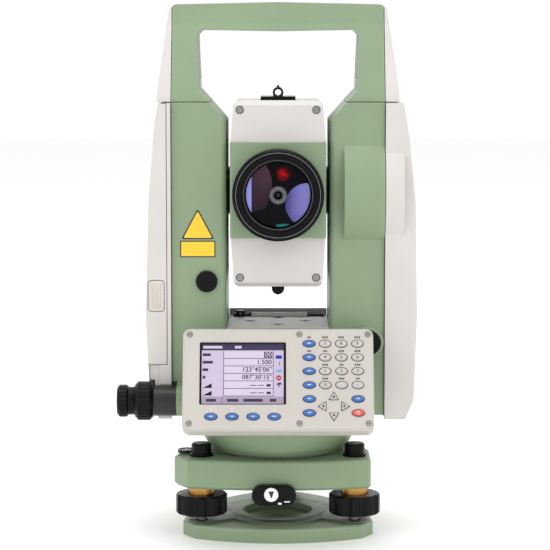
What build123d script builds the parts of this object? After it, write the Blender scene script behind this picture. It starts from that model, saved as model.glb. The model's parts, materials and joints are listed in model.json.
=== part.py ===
from build123d import *
import math
import os

# A surveying total station on its three-screw tribrach, in millimetres.
# X runs along the telescope's tilting axis, -Y is the side of the control panel, +Z is up.
# The origin is the centre of the tripod thread on the bottom face of the base plate.

# fits
running = 0.05
free_gap = 0.4

# tribrach
foot_circle_r = 60.0
tripod_thread_r = 6.75
base_plate_t = 9.5
centre_ring_r = 32.3
centre_ring_rise = 1.6
spring_plate_t = 1.2
ball_r = 4.8
ball_z = 6.5
spindle_r = 3.9
spindle_top_z = 57.0
knob_r = 17.5
knob_z = 15.5
knob_h = 13.5
bush_r = 8.65
bush_z = 28.6
tribrach_z = 34.7
tribrach_top_z = 54.8
foot_cap_r = 6.85
foot_cap_h = 8.7
round_level_r = 5.9
round_level_x = -62.6
round_level_y = -19.4
lock_x = -4.6
lock_z = 34.5
lock_front_y = -60.5
stud_circle_r = 28.0
stud_r = 3.5
ring_swing_deg = 20.0

# vertical axis
flange_r = 44.0
flange_top_z = 55.4
sleeve_r = 15.0
axis_r = 10.0
circle_r = 38.0
drum_z = 56.0

# alidade frame
frame_z = 84.0
frame_top_z = 293.7
frame_half_w = 71.0
frame_half_d = 39.0
yoke_half_gap = 34.5
yoke_floor_z = 141.0
floor_t = 4.0
wall = 3.0
seam = 0.4
yoke_corner_r = 4.0
trunnion_z = 233.2
drum_bulge_r = 50.0
drum_bulge_x = 44.0
cover_bulge_x = 84.0
cover_half_d = 42.0
cover_corner_r = 7.0
cover_wall = 2.5
door_split_x = -74.0
door_z = 119.0
latch_x = -81.4
latch_z = 165.0
latch_w = 10.4
latch_h = 20.4
latch_travel = 1.2

# drives
clamp_knob_r = 13.0
tangent_knob_r = 10.8
barrel_r = 10.2
drive_shaft_r = 4.0
h_drive_y = -46.0
h_drive_z = 95.0
v_drive_x = -47.7
v_drive_z = 174.6

plate_level_y = 27.0
level_tube_r = 2.1
level_vial_r = 1.5

# control panel
panel_w = 125.0
panel_h = 69.6
panel_t = 14.0
bezel_t = 4.0
panel_tilt = 25.0
panel_y = -78.5
panel_z = 114.6
window_w = 56.6
window_h = 42.6
window_u = -23.1
window_v = 4.1
blue_key = (8.1, 4.4)
digit_key = (7.6, 4.8)
key_rise = 1.0
key_depth = 6.5
function_key_u = 20.3
digit_key_u = 30.8
soft_key_u = -43.7
soft_key_v = -25.3
soft_key_pitch = 13.7
key_row_v = 24.2
key_row_pitch = 9.4
digit_key_pitch = 10.6
arrow_u = 36.2
arrow_v = -18.4
arrow_offset = 6.2
enter_u = 52.0

# handle
handle_z = frame_top_z + seam
handle_top_z = 360.5
handle_grip_z = 342.2
handle_opening_half = 54.0
handle_foot_half = 53.0

# telescope
scope_half_w = 32.0
scope_half_h = 31.5
scope_front_y = -44.0
scope_back_y = 48.0
cover_base_half = 31.6
cover_half_w = 29.4
scope_corner_r = 4.0
top_cover_z = 295.0
bottom_cover_z = 171.0
objective_r = 30.3
objective_front_y = -58.0
lens_r = 22.3
coaxial_r = 5.8
trunnion_r = 9.0
collar_r = 16.35
bearing_r = 15.0
vertical_circle_r = 36.0
eye_tube_r = 15.0
focus_r = 24.0
eyepiece_r = 13.5
eyepiece_end_y = 82.0

screw_head_r = 2.2
deck_screw_r = 3.9
screw_shank_r = 1.25

foot_angles = {"left": 210.0, "right": -30.0, "back": 90.0}
panel_plane = Plane(
    origin=(0, panel_y, panel_z),
    x_dir=(1, 0, 0),
    z_dir=(0, -math.cos(math.radians(panel_tilt)), math.sin(math.radians(panel_tilt))),
)


def rod_z(r, z0, z1, x=0.0, y=0.0):
    return Pos(x, y, (z0 + z1) / 2) * Cylinder(r, z1 - z0)


def rod_x(r, x0, x1, y, z):
    return Pos((x0 + x1) / 2, y, z) * Rot(0, 90, 0) * Cylinder(r, x1 - x0)


def rod_y(r, y0, y1, x, z):
    return Pos(x, (y0 + y1) / 2, z) * Rot(90, 0, 0) * Cylinder(r, y1 - y0)


def block(x0, x1, y0, y1, z0, z1):
    return Pos((x0 + x1) / 2, (y0 + y1) / 2, (z0 + z1) / 2) * Box(x1 - x0, y1 - y0, z1 - z0)


def outline(*points):
    return make_face(Polyline(*points, close=True))


def prism_y(face, y0, y1):
    return extrude(Plane.XZ.offset(-y0) * face, amount=y1 - y0, dir=(0, 1, 0))


def prism_x(face, x0, x1):
    return extrude(Plane.YZ.offset(x0) * face, amount=x1 - x0, dir=(1, 0, 0))


def prism_z(face, z0, z1):
    return extrude(Pos(0, 0, z0) * face, amount=z1 - z0, dir=(0, 0, 1))


def mirrored(solid):
    return mirror(solid, about=Plane.YZ)


def polar(radius, angle):
    turn = math.radians(angle)
    return radius * math.cos(turn), radius * math.sin(turn)


def foot_spots():
    return [polar(foot_circle_r, angle) for angle in foot_angles.values()]


def rounded_triangle(corner_r, side_r, facet_half):
    # three flat corner facets joined by shallow arcs
    ends = []
    for angle in (-30.0, 90.0, 210.0):
        cx, cy = polar(corner_r, angle)
        dx, dy = polar(facet_half, angle + 90.0)
        ends.append(((cx - dx, cy - dy), (cx + dx, cy + dy)))
    edges = []
    for k in range(3):
        start, end = ends[k]
        following = ends[(k + 1) % 3][0]
        edges.append(Line(start, end))
        edges.append(ThreePointArc(end, polar(side_r, 30.0 + 120.0 * k), following))
    return make_face(edges)


def on_panel(part):
    return panel_plane.location * part


def panel_slab(face, depth, rise):
    return extrude(Pos(0, 0, -depth) * face, amount=depth + rise, dir=(0, 0, 1))


# ---- base ----------------------------------------------------------------------------

def base_plate():
    plate = prism_z(rounded_triangle(70.0, 57.0, 8.0), 0, base_plate_t)
    plate = chamfer(plate.edges().group_by(Axis.Z)[-1], 1.2)
    plate += rod_z(centre_ring_r, base_plate_t, base_plate_t + centre_ring_rise)
    plate -= rod_z(24.0, base_plate_t - 2.5, base_plate_t + centre_ring_rise)
    plate -= rod_z(tripod_thread_r, 0, base_plate_t)
    for x, y in foot_spots():
        plate -= rod_z(ball_r + 0.8, 1.0, base_plate_t, x, y)
    seat_x, seat_y = polar(foot_circle_r, foot_angles["back"])
    plate -= rod_z(ball_r + 3.5, 0.8, base_plate_t, seat_x, seat_y)
    return plate


def spring_plate():
    low = base_plate_t
    high = base_plate_t + spring_plate_t
    plate = rod_z(41.0, low, high)
    for angle in foot_angles.values():
        arm = block(30.0, foot_circle_r, -9.0, 9.0, low, high)
        arm += rod_z(9.0, low, high, foot_circle_r, 0)
        plate += Rot(0, 0, angle) * arm
    plate -= rod_z(centre_ring_r + 0.1, low, high)
    for x, y in foot_spots():
        plate -= rod_z(4.5, low, high, x, y)
    return plate


def back_ball_seat():
    x, y = polar(foot_circle_r, foot_angles["back"])
    seat = rod_z(ball_r + 3.1, 1.3, base_plate_t - 0.4, x, y)
    seat -= rod_z(ball_r + 0.7, 1.3, base_plate_t, x, y)
    return seat


# ---- foot screws ---------------------------------------------------------------------

def foot_spindle(angle):
    x, y = polar(foot_circle_r, angle)
    spindle = Pos(x, y, ball_z) * Sphere(ball_r)
    spindle += rod_z(3.2, ball_z, knob_z - 1.0, x, y)
    spindle += rod_z(spindle_r, knob_z - 1.0, spindle_top_z, x, y)
    return spindle


def foot_knob(angle):
    x, y = polar(foot_circle_r, angle)
    top = knob_z + knob_h
    knob = chamfer(rod_z(knob_r, knob_z, top).edges(), 1.2)
    for k in range(10):
        fx, fy = polar(knob_r + 2.4, 36.0 * k)
        knob -= rod_z(4.0, knob_z, top, fx, fy)
    knob -= rod_z(bush_r + 0.7, top - 4.6, top)
    knob -= rod_z(spindle_r + running, knob_z, top)
    return Pos(x, y, 0) * knob


def foot_screw_bushes():
    bushes = []
    for x, y in foot_spots():
        bush = rod_z(bush_r, bush_z, tribrach_top_z, x, y)
        bushes.append(bush - rod_z(spindle_r + running, bush_z, tribrach_top_z, x, y))
    return bushes


def foot_caps():
    caps = []
    top = tribrach_top_z + foot_cap_h
    for x, y in foot_spots():
        cap = chamfer(rod_z(foot_cap_r, tribrach_top_z, top).edges().group_by(Axis.Z)[-1], 1.0)
        cap += rod_z(foot_cap_r + 1.2, tribrach_top_z, tribrach_top_z + 1.4)
        cap -= rod_z(spindle_r + 1.0, tribrach_top_z, top - 1.9)
        caps.append(Pos(x, y, 0) * cap)
    return caps


# ---- tribrach ------------------------------------------------------------------------

def tribrach_body():
    right_end = max(x for x, y in foot_spots()) + bush_r + 1.9
    body = prism_z(rounded_triangle(76.0, 53.0, 9.0), tribrach_z, tribrach_top_z)
    body &= block(-90.0, right_end, -90.0, 90.0, tribrach_z, tribrach_top_z)
    body = chamfer(body.edges().group_by(Axis.Z)[-1], 1.2)
    body = chamfer(body.edges().group_by(Axis.Z)[0], 2.0)
    body += rod_y(6.2, -52.0, -37.5, lock_x, lock_z)
    body -= rod_z(flange_r + 0.2, flange_top_z - 5.5, tribrach_top_z)
    body -= rod_z(35.0, tribrach_z - 7.0, 42.0)
    body -= rod_z(18.2, tribrach_z, tribrach_top_z)
    for x, y in foot_spots():
        body -= rod_z(bush_r, tribrach_z, tribrach_top_z, x, y)
    for angle in foot_angles.values():
        x, y = polar(stud_circle_r, angle + 60.0)
        body -= rod_z(stud_r + 0.1, 42.0, tribrach_top_z, x, y)
    body -= rod_y(3.0 + running, -60.0, -35.0, lock_x, lock_z)
    body -= rod_z(round_level_r - 1.0, tribrach_top_z - 3.0, tribrach_top_z, round_level_x, round_level_y)
    return body


def circular_level():
    x = round_level_x
    y = round_level_y
    level = rod_z(round_level_r, tribrach_top_z, tribrach_top_z + 2.4, x, y)
    level += rod_z(round_level_r - 1.1, tribrach_top_z - 2.8, tribrach_top_z, x, y)
    level -= rod_z(round_level_r - 1.4, tribrach_top_z + 1.6, tribrach_top_z + 2.4, x, y)
    return level


def clamp_knob():
    lobe = Pos(-2.8, lock_z - 1.4) * SlotOverall(29.6, 13.6)
    knob = prism_y(lobe, lock_front_y, -53.6)
    knob = chamfer(knob.edges().group_by(Axis.Y)[0], 1.0)
    knob += rod_y(3.0, -53.6, -36.0, lock_x, lock_z)
    return knob


def clamp_ring():
    ring = rod_z(34.5, 37.0, 41.6) - rod_z(21.0, 37.0, 41.6)
    reach = ring_swing_deg + 9.0
    slots = rod_z(stud_circle_r + stud_r + 0.5, 36.0, 43.0) - rod_z(stud_circle_r - stud_r - 0.5, 36.0, 43.0)
    for angle in foot_angles.values():
        sides = [polar(90.0, angle + 60.0 + turn) for turn in (-reach, reach)]
        ring -= slots & prism_z(outline((0, 0), *sides), 36.0, 43.0)
    return ring


def instrument_base():
    seat_z = flange_top_z - 5.5
    base = rod_z(flange_r, seat_z, flange_top_z)
    base += rod_z(18.0, tribrach_z + 0.5, seat_z)
    base += rod_z(sleeve_r, flange_top_z, frame_z + floor_t - 0.5)
    for angle in foot_angles.values():
        x, y = polar(stud_circle_r, angle + 60.0)
        base += rod_z(stud_r, 37.5, seat_z, x, y)
    base -= rod_z(axis_r + running, tribrach_z, frame_z + floor_t)
    return base


def horizontal_circle():
    return rod_z(circle_r, 64.0, 67.0) - rod_z(sleeve_r, 64.0, 67.0)


def axis_spindle():
    top = frame_z + floor_t
    spindle = rod_z(axis_r, 38.0, top)
    spindle += rod_z(24.0, top, top + 4.0)
    return spindle - rod_z(4.0, 38.0, top + 4.0)


# ---- alidade -------------------------------------------------------------------------

def drum_profile(inset, top_z):
    points = [(0, drum_z)]
    for r, z in ((45.6, drum_z), (49.5, 60.7), (52.6, 66.5), (60.0, top_z)):
        points.append((r - inset, z))
    points.append((0, top_z))
    return revolve(Plane.XZ * outline(*points), Axis.Z)


def lower_housing():
    shell = drum_profile(0.0, frame_z) - drum_profile(wall, frame_z - wall)
    return shell - rod_z(30.0, drum_z, frame_z)


def panel_back(v):
    # a point (y, z) on the back face of the control panel, v up the face from its centre
    turn = math.radians(panel_tilt)
    y = panel_y + v * math.sin(turn) + panel_t * math.cos(turn)
    z = panel_z + v * math.cos(turn) - panel_t * math.sin(turn)
    return y, z


def panel_neck():
    low = panel_back(-22.0)
    high = panel_back(20.0)
    neck = prism_x(outline((-36.0, low[1]), low, high, (-36.0, high[1])), -45.0, 45.0)
    inner = outline(
        (-34.0, low[1] + 3.0), (low[0] + 4.6, low[1] + 3.0),
        (high[0] + 1.9, high[1] - 3.0), (-34.0, high[1] - 3.0),
    )
    return neck, prism_x(inner, -42.0, 42.0)


def alidade_frame():
    w = frame_half_w
    d = frame_half_d
    g = yoke_half_gap
    yoke = outline(
        (-w, frame_z), (w, frame_z), (w, frame_top_z), (45.4, frame_top_z), (g, frame_top_z - 12.2),
        (g, yoke_floor_z), (-g, yoke_floor_z), (-g, frame_top_z - 12.2), (-45.4, frame_top_z),
        (-w, frame_top_z),
    )
    frame = prism_y(yoke, -d, d)
    corner = Rectangle(yoke_corner_r, yoke_corner_r) - Pos(
        yoke_corner_r / 2, yoke_corner_r / 2) * Circle(yoke_corner_r)
    for sx in (-1, 1):
        for sy in (-1, 1):
            turn = {(1, -1): 0, (-1, -1): 90, (-1, 1): 180, (1, 1): 270}[(sx, sy)]
            spot = Pos(sx * (g + yoke_corner_r / 2), sy * (d - yoke_corner_r / 2))
            frame -= prism_z(spot * Rot(0, 0, turn) * corner, yoke_floor_z, frame_top_z)
    frame += rod_x(drum_bulge_r, drum_bulge_x, w, 0, trunnion_z)
    neck, neck_hollow = panel_neck()
    frame += neck
    frame += rod_x(barrel_r, -83.0, -60.0, h_drive_y, h_drive_z)
    frame += block(-70.0, -58.0, h_drive_y, -d, h_drive_z - barrel_r, h_drive_z + barrel_r)
    frame += rod_y(10.1, -d - 3.0, -d, 61.4 - 0.8, 133.6)
    # hollow crossbeam and two hollow standards, open at the sides
    frame -= block(-w, w, -d + wall, d - wall, frame_z + floor_t, yoke_floor_z - wall)
    for side in (-1, 1):
        x0 = min(side * w, side * (g + 3.5))
        x1 = max(side * w, side * (g + 3.5))
        hollow = block(x0, x1, -d + wall, d - wall, frame_z + floor_t, frame_top_z - 15.0)
        frame -= hollow
        foot = block(min(side * w, side * 50.0), max(side * w, side * 50.0),
                     -d + wall, d - wall, frame_top_z - 16.0, frame_top_z - wall)
        frame -= foot
    frame -= rod_x(drum_bulge_r - wall, drum_bulge_x + wall, w, 0, trunnion_z)
    for side in (-1, 1):
        inner = side * g
        outer = side * 46.0
        frame += rod_x(20.0, min(inner, outer), max(inner, outer), 0, trunnion_z)
    frame -= rod_x(bearing_r, -46.0, 46.0, 0, trunnion_z)
    frame -= neck_hollow
    frame -= rod_z(sleeve_r + 1.0, frame_z, frame_z + floor_t)
    # drives: two shaft bores and their barrels
    frame -= rod_x(drive_shaft_r + running, -84.0, -60.0, h_drive_y, h_drive_z)
    frame += rod_y(barrel_r, d - wall, d + 11.0, v_drive_x, v_drive_z)
    frame -= rod_y(drive_shaft_r + running, 20.0, d + 12.0, v_drive_x, v_drive_z)
    frame -= rod_y(5.5, -d, -d + wall, v_drive_x, v_drive_z)
    frame -= rod_y(6.0, -d - 3.0, -d + wall, 60.6, 133.6)
    for x in (-57.0, 57.0):
        frame -= rod_z(2.5, frame_top_z - wall, frame_top_z, x, 0)
    for x, y in deck_screw_spots():
        frame -= rod_z(screw_shank_r, yoke_floor_z - wall, yoke_floor_z, x, y)
    return frame


def deck_screw_spots():
    return ((-19, 0), (19, 0), (0, -19), (0, 19))


def deck_plate():
    half = yoke_half_gap - 0.2
    plate = block(-half, half, -38.6, 38.6, yoke_floor_z, yoke_floor_z + 2.0)
    plate += block(-half, half, 36.2, 38.6, yoke_floor_z + 2.0, yoke_floor_z + 6.3)
    plate -= block(-31.4, 32.4, plate_level_y - 4.0, plate_level_y + 4.0, yoke_floor_z, yoke_floor_z + 2.0)
    for x, y in deck_screw_spots():
        plate -= rod_z(deck_screw_r + 0.1, yoke_floor_z + 0.8, yoke_floor_z + 2.0, x, y)
        plate -= rod_z(screw_shank_r, yoke_floor_z, yoke_floor_z + 2.0, x, y)
    return plate


def left_outline(inset):
    return outline(
        (-60.0, 82.0 + inset), (-80.0 + inset, 82.0 + inset), (-86.0 + inset, 96.0 + inset),
        (-88.6 + inset, 150.0), (-86.2 + inset, 226.0), (-81.8 + inset, 280.0),
        (-79.4 + inset, 293.5 - inset), (-60.0, 293.5 - inset),
    )


def right_outline(inset):
    return outline(
        (60.0, 81.5 + inset), (85.4 - inset, 81.5 + inset), (91.0 - inset, 95.0 + inset),
        (93.0 - inset, 150.0), (91.5 - inset, 226.0), (87.0 - inset, 270.0),
        (83.0 - inset, 293.5 - inset), (60.0, 293.5 - inset),
    )


def side_shell(face, side, inset):
    # rounded in plan, so that each cover's outer corners are its own
    reach = 96.0 if side > 0 else 91.6
    plan = RectangleRounded(2 * (reach - 60.0), 2 * (cover_half_d - inset), cover_corner_r)
    centre = side * (60.0 - inset)
    half_d = cover_half_d - inset
    return prism_y(face, -half_d, half_d) & prism_z(Pos(centre, 0) * plan, 70.0, 300.0)


def left_shell():
    shell = side_shell(left_outline(0), -1, 0) - side_shell(left_outline(cover_wall), -1, cover_wall)
    return shell & block(-100.0, -frame_half_w - seam, -60.0, 60.0, 70.0, 300.0)


def left_room():
    return side_shell(left_outline(cover_wall), -1, cover_wall)


def hinge_x():
    return door_split_x - 0.2


def left_cover():
    cover = left_shell()
    cover -= block(-100.0, door_split_x, -60.0, 60.0, door_z - free_gap, 300.0)
    cover -= rod_x(barrel_r + 0.6, -84.0, -frame_half_w, h_drive_y, h_drive_z)
    cover -= rod_x(clamp_knob_r + 1.4, -100.0, -82.6, h_drive_y, h_drive_z)
    cover -= block(-86.4, -79.2, -50.0, -40.6, h_drive_z, door_z)
    # two knuckles of the battery door's hinge, on the rear edge
    y = cover_half_d + 2.2
    for z in (140.0, 262.0):
        cover += rod_z(1.8, z - 5.0, z + 5.0, hinge_x(), y)
        cover += block(hinge_x() + 0.2, hinge_x() + 2.6, cover_half_d - 1.5, y, z - 5.0, z + 5.0)
        cover -= rod_z(0.9 + running, z - 6.0, z + 6.0, hinge_x(), y)
    return cover


def battery_door():
    door = left_shell() & block(-100.0, door_split_x - free_gap, -60.0, 60.0, door_z, 293.0)
    door -= prism_y(Pos(latch_x, latch_z) * RectangleRounded(
        latch_w + 0.8, latch_h + 0.8, 2.4), -50.0, -30.0)
    door += block(-90.4, -75.0, -39.1, -37.9, latch_z - 3.0, latch_z + 3.0) & left_room()
    y = cover_half_d + 2.2
    for z in (140.0, 262.0):
        for z0 in (z - 11.4, z + 5.4):
            door += rod_z(1.8, z0, z0 + 6.0, hinge_x(), y)
            door += block(hinge_x() - 3.4, hinge_x() - 0.2, cover_half_d - 1.5, y, z0, z0 + 6.0)
        door += rod_z(0.9, z - 8.0, z + 8.0, hinge_x(), y)
    return door


def battery_latch():
    plate = Pos(latch_x, latch_z) * RectangleRounded(latch_w, latch_h, 2.0)
    latch = prism_y(plate, -cover_half_d, -cover_half_d + 1.2)
    for x in (-2.6, 0.0, 2.6):
        rib = block(latch_x + x - 0.45, latch_x + x + 0.45, -cover_half_d - 0.4, -cover_half_d,
                    latch_z - 8.0, latch_z + 8.0)
        latch += rib
    return latch


def battery_pack():
    pack = fillet(block(-82.4, -53.0, -29.0, 29.0, 122.0, 222.0).edges(), 2.0)
    return pack


def right_cover():
    inset = cover_wall
    outer = side_shell(right_outline(0), 1, 0)
    outer += rod_x(drum_bulge_r, 60.0, cover_bulge_x, 0, trunnion_z)
    inner = side_shell(right_outline(inset), 1, inset)
    inner += rod_x(drum_bulge_r - inset, 60.0, cover_bulge_x - inset, 0, trunnion_z)
    return (outer - inner) & block(frame_half_w + seam, 100.0, -60.0, 60.0, 70.0, 300.0)


def trunnion_bearings():
    bearings = []
    for x0, x1 in ((-45.5, -37.0), (37.0, 45.5)):
        ring = rod_x(bearing_r, x0, x1, 0, trunnion_z)
        bearings.append(ring - rod_x(trunnion_r + running, x0, x1, 0, trunnion_z))
    return bearings


def spring_cap():
    face = -frame_half_d
    cap = chamfer(rod_y(7.2, face - 2.6, face, v_drive_x, v_drive_z).edges().group_by(Axis.Y)[0], 0.6)
    return cap + rod_y(5.5, face, face + 6.0, v_drive_x, v_drive_z)


def data_port_cap():
    face = -frame_half_d - 3.0
    cap = chamfer(rod_y(8.2, face - 2.8, face - 0.4, 60.6, 133.6).edges().group_by(Axis.Y)[0], 0.8)
    return cap + rod_y(5.6, face - 0.4, face + 5.0, 60.6, 133.6)


def plate_level_case():
    # a slotted tube between two rods on a foot in the deck plate's opening, with its adjusting nut
    y = plate_level_y
    z = yoke_floor_z + 2.6
    case = block(-31.0, 32.0, y - 3.6, y + 3.6, yoke_floor_z, yoke_floor_z + 1.2)
    case += rod_x(level_tube_r, -19.5, 21.5, y, z)
    case += rod_x(0.8, -31.0, 32.0, y, z)
    case += block(30.0, 32.0, y - 2.0, y + 2.0, yoke_floor_z, z + 1.4)
    case += block(-31.0, -29.6, y - 2.0, y + 2.0, yoke_floor_z, z + 1.4)
    case += rod_z(3.0, yoke_floor_z, z + 3.4, -26.3, y) - rod_y(0.9, y - 4.0, y + 4.0, -26.3, z + 1.6)
    case -= rod_x(level_vial_r + 0.05, -17.5, 20.0, y, z)
    case -= block(-12.0, 14.0, y - 1.0, y + 1.0, z + 0.9, z + 4.0)
    return case


def plate_level_vial():
    return rod_x(level_vial_r, -17.0, 19.5, plate_level_y, yoke_floor_z + 2.6)


# ---- drives --------------------------------------------------------------------------

def fluted_knob(radius, height, flutes, bore, bevel=0.8):
    knob = chamfer(rod_z(radius, 0, height).edges(), bevel)
    for k in range(flutes):
        x, y = polar(radius + 0.9, 360.0 * k / flutes)
        knob -= rod_z(1.3, 0, height, x, y)
    if bore:
        knob -= rod_z(bore, 0, height)
    return knob


def tangent_knob():
    # along +Z, with 0 at the outer face of the clamp knob
    knob = Pos(0, 0, 4.0) * fluted_knob(tangent_knob_r, 7.8, 20, 0, 1.6)
    knob += rod_z(9.4, 0.4, 4.6)
    return knob + rod_z(drive_shaft_r, -30.0, 0.4)


def h_clamp_knob():
    knob = fluted_knob(clamp_knob_r, 12.2, 24, drive_shaft_r + running, 2.2)
    return Pos(-83.4, h_drive_y, h_drive_z) * Rot(0, -90, 0) * knob


def h_tangent_knob():
    return Pos(-95.6, h_drive_y, h_drive_z) * Rot(0, -90, 0) * tangent_knob()


def v_clamp_knob():
    knob = fluted_knob(clamp_knob_r, 11.6, 24, drive_shaft_r + running, 2.2)
    return Pos(v_drive_x, frame_half_d + 11.4, v_drive_z) * Rot(-90, 0, 0) * knob


def v_tangent_knob():
    return Pos(v_drive_x, frame_half_d + 23.0, v_drive_z) * Rot(-90, 0, 0) * tangent_knob()


# ---- control panel -------------------------------------------------------------------

def panel_screw_spots():
    return [(u, v) for v in (30.5, -29.9) for u in (-58.0, 13.9, 58.8)]


def soft_key_spots():
    return [(soft_key_u + soft_key_pitch * k, soft_key_v) for k in range(4)]


def function_key_spots():
    return [(function_key_u, key_row_v - key_row_pitch * k) for k in range(6)]


def digit_key_spots():
    spots = []
    for row in range(4):
        for column in range(3):
            spots.append((digit_key_u + digit_key_pitch * column, key_row_v - key_row_pitch * row))
    return spots


def arrow_shapes(grow):
    shapes = []
    for angle in (0, 90, 180, 270):
        du, dv = polar(1.0, angle)
        spot = (arrow_u + 6.8 * du, arrow_v + arrow_offset * dv)
        shapes.append(Pos(*spot) * RegularPolygon(3.3 + 2 * grow, 3, rotation=angle))
    return shapes


def enter_shape(grow):
    return Pos(enter_u, key_row_v - key_row_pitch * 4) * Ellipse(blue_key[0] / 2 + grow, blue_key[1] / 2 + grow)


def power_shape(grow):
    return Pos(enter_u, key_row_v - key_row_pitch * 5) * Ellipse(blue_key[0] / 2 + grow, blue_key[1] / 2 + grow)


def ellipse_keys(spots, grow):
    return [Pos(u, v) * Ellipse(blue_key[0] / 2 + grow, blue_key[1] / 2 + grow) for u, v in spots]


def digit_shapes(grow):
    half_w, half_h = (size / 2 + grow for size in digit_key)
    return [Pos(u, v) * Ellipse(half_w, half_h) for u, v in digit_key_spots()]


def all_key_shapes(grow):
    shapes = ellipse_keys(soft_key_spots(), grow)
    shapes += ellipse_keys(function_key_spots(), grow)
    shapes += digit_shapes(grow)
    shapes += arrow_shapes(grow)
    shapes += [enter_shape(grow), power_shape(grow)]
    return shapes


def keys(shapes):
    return [on_panel(panel_slab(shape, key_depth, key_rise)) for shape in shapes]


def panel_case():
    case = panel_slab(RectangleRounded(panel_w, panel_h, 5.0), panel_t, -bezel_t)
    case = chamfer(case.edges().group_by(Axis.Z)[0], 2.0)
    case -= panel_slab(RectangleRounded(panel_w - 5.0, panel_h - 5.0, 3.5), panel_t - 2.5, 0)
    for u, v in panel_screw_spots():
        case += rod_z(2.6, -panel_t + 2.0, -bezel_t, u, v)
        case -= rod_z(screw_shank_r, -panel_t + 3.0, -bezel_t, u, v)
    case -= Pos(0, 0, -panel_t) * Box(30.0, 14.0, 8.0)
    return on_panel(case)


def panel_bezel():
    bezel = panel_slab(RectangleRounded(panel_w, panel_h, 5.0), bezel_t, 0)
    bezel = chamfer(bezel.edges().group_by(Axis.Z)[-1], 1.4)
    window = Pos(window_u, window_v) * RectangleRounded(window_w, window_h, 1.0)
    bezel -= panel_slab(window, bezel_t, 0)
    pocket = Pos(window_u, window_v) * Rectangle(window_w + 2.4, window_h + 2.4)
    bezel -= panel_slab(pocket, bezel_t, -bezel_t / 2)
    for shape in all_key_shapes(0.35):
        bezel -= panel_slab(shape, bezel_t, 0)
    for u, v in panel_screw_spots():
        bezel -= rod_z(screw_head_r, -1.4, 0, u, v)
        bezel -= rod_z(screw_shank_r, -bezel_t, 0, u, v)
    return on_panel(bezel)


def display_window():
    glass = Pos(window_u, window_v) * Rectangle(window_w + 2.2, window_h + 2.2)
    return on_panel(panel_slab(glass, bezel_t, -bezel_t / 2))


def circuit_board():
    board = Rectangle(panel_w - 6.0, panel_h - 6.0)
    board = panel_slab(board, 9.2, -7.8)
    for u, v in panel_screw_spots():
        board -= rod_z(2.8, -10.0, -7.0, u, v)
    return on_panel(board)


def cover_screws():
    # six through the panel bezel and four with wide heads through the deck plate
    screw = rod_z(screw_head_r, -1.0, 0) + rod_z(screw_shank_r, -4.6, -1.0)
    screw -= Box(3.0, 0.6, 1.0)
    screws = [on_panel(Pos(u, v, -0.4) * screw) for u, v in panel_screw_spots()]
    for x, y in deck_screw_spots():
        head = rod_z(deck_screw_r, 0.8, 1.8) + rod_z(screw_shank_r, -2.6, 0.8)
        head -= rod_z(1.6, 1.0, 1.8)
        screws.append(Pos(x, y, yoke_floor_z) * head)
    return screws


# ---- handle --------------------------------------------------------------------------

def handle_taper():
    return outline(
        (-37.0, frame_top_z), (37.0, frame_top_z), (33.0, 306.0), (17.0, 346.0),
        (14.0, handle_top_z), (-14.0, handle_top_z), (-17.0, 346.0), (-33.0, 306.0),
    )


def handle():
    w = frame_half_w
    outer = outline(
        (-w, handle_z), (w, handle_z), (w, 357.6), (69.0, 359.0), (0, handle_top_z),
        (-69.0, 359.0), (-w, 357.6),
    )
    a = handle_opening_half
    b = handle_foot_half
    opening = outline(
        (-45.4, handle_z), (45.4, handle_z), (b, 302.5), (a, handle_grip_z - 3.0), (a - 3.0, handle_grip_z),
        (0, handle_grip_z - 0.9), (3.0 - a, handle_grip_z), (-a, handle_grip_z - 3.0), (-b, 302.5),
    )
    grip = prism_y(outer, -40.0, 40.0) - prism_y(opening, -41.0, 41.0)
    grip &= prism_x(handle_taper(), -w, w)
    for x in (-57.0, 57.0):
        grip += rod_z(6.0, frame_top_z, handle_z, x, 0)
    for x in (-57.0, 57.0):
        grip -= rod_z(5.2, 301.8, 311.0, x, 0)
        grip -= rod_z(2.5, frame_top_z, 302.0, x, 0)
    return grip


def handle_side_covers():
    w = frame_half_w
    side = outline(
        (w + seam, handle_z), (80.6, handle_z), (79.6, 306.0), (75.8, 334.0), (73.0, 356.0), (w + seam, 357.4),
    )
    cover = prism_y(side, -40.0, 40.0) & prism_x(handle_taper(), w + seam, 90.0)
    return [cover, mirrored(cover)]


def handle_screws():
    screws = []
    for x in (-57.0, 57.0):
        screw = chamfer(rod_z(4.8, 302.0, 309.0).edges(), 0.5)
        screw -= rod_z(2.6, 307.0, 309.0)
        screw += rod_z(2.4, 284.0, 302.0)
        screws.append(Pos(x, 0, 0) * screw)
    return screws


# ---- telescope -----------------------------------------------------------------------

def telescope_body():
    w = scope_half_w
    low = trunnion_z - scope_half_h + 2.3
    high = trunnion_z + scope_half_h + 2.3
    body = block(-w, w, scope_front_y, scope_back_y, low, high)
    body = fillet(body.edges().filter_by(Axis.Z), 1.5)
    body += rod_y(eye_tube_r, scope_back_y, 68.0, 0, trunnion_z)
    body -= rod_y(lens_r + 3.0, scope_front_y, scope_back_y - 6.0, 0, trunnion_z)
    body -= rod_y(10.0 + running, scope_back_y - 6.0, 68.0, 0, trunnion_z)
    return body


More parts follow.
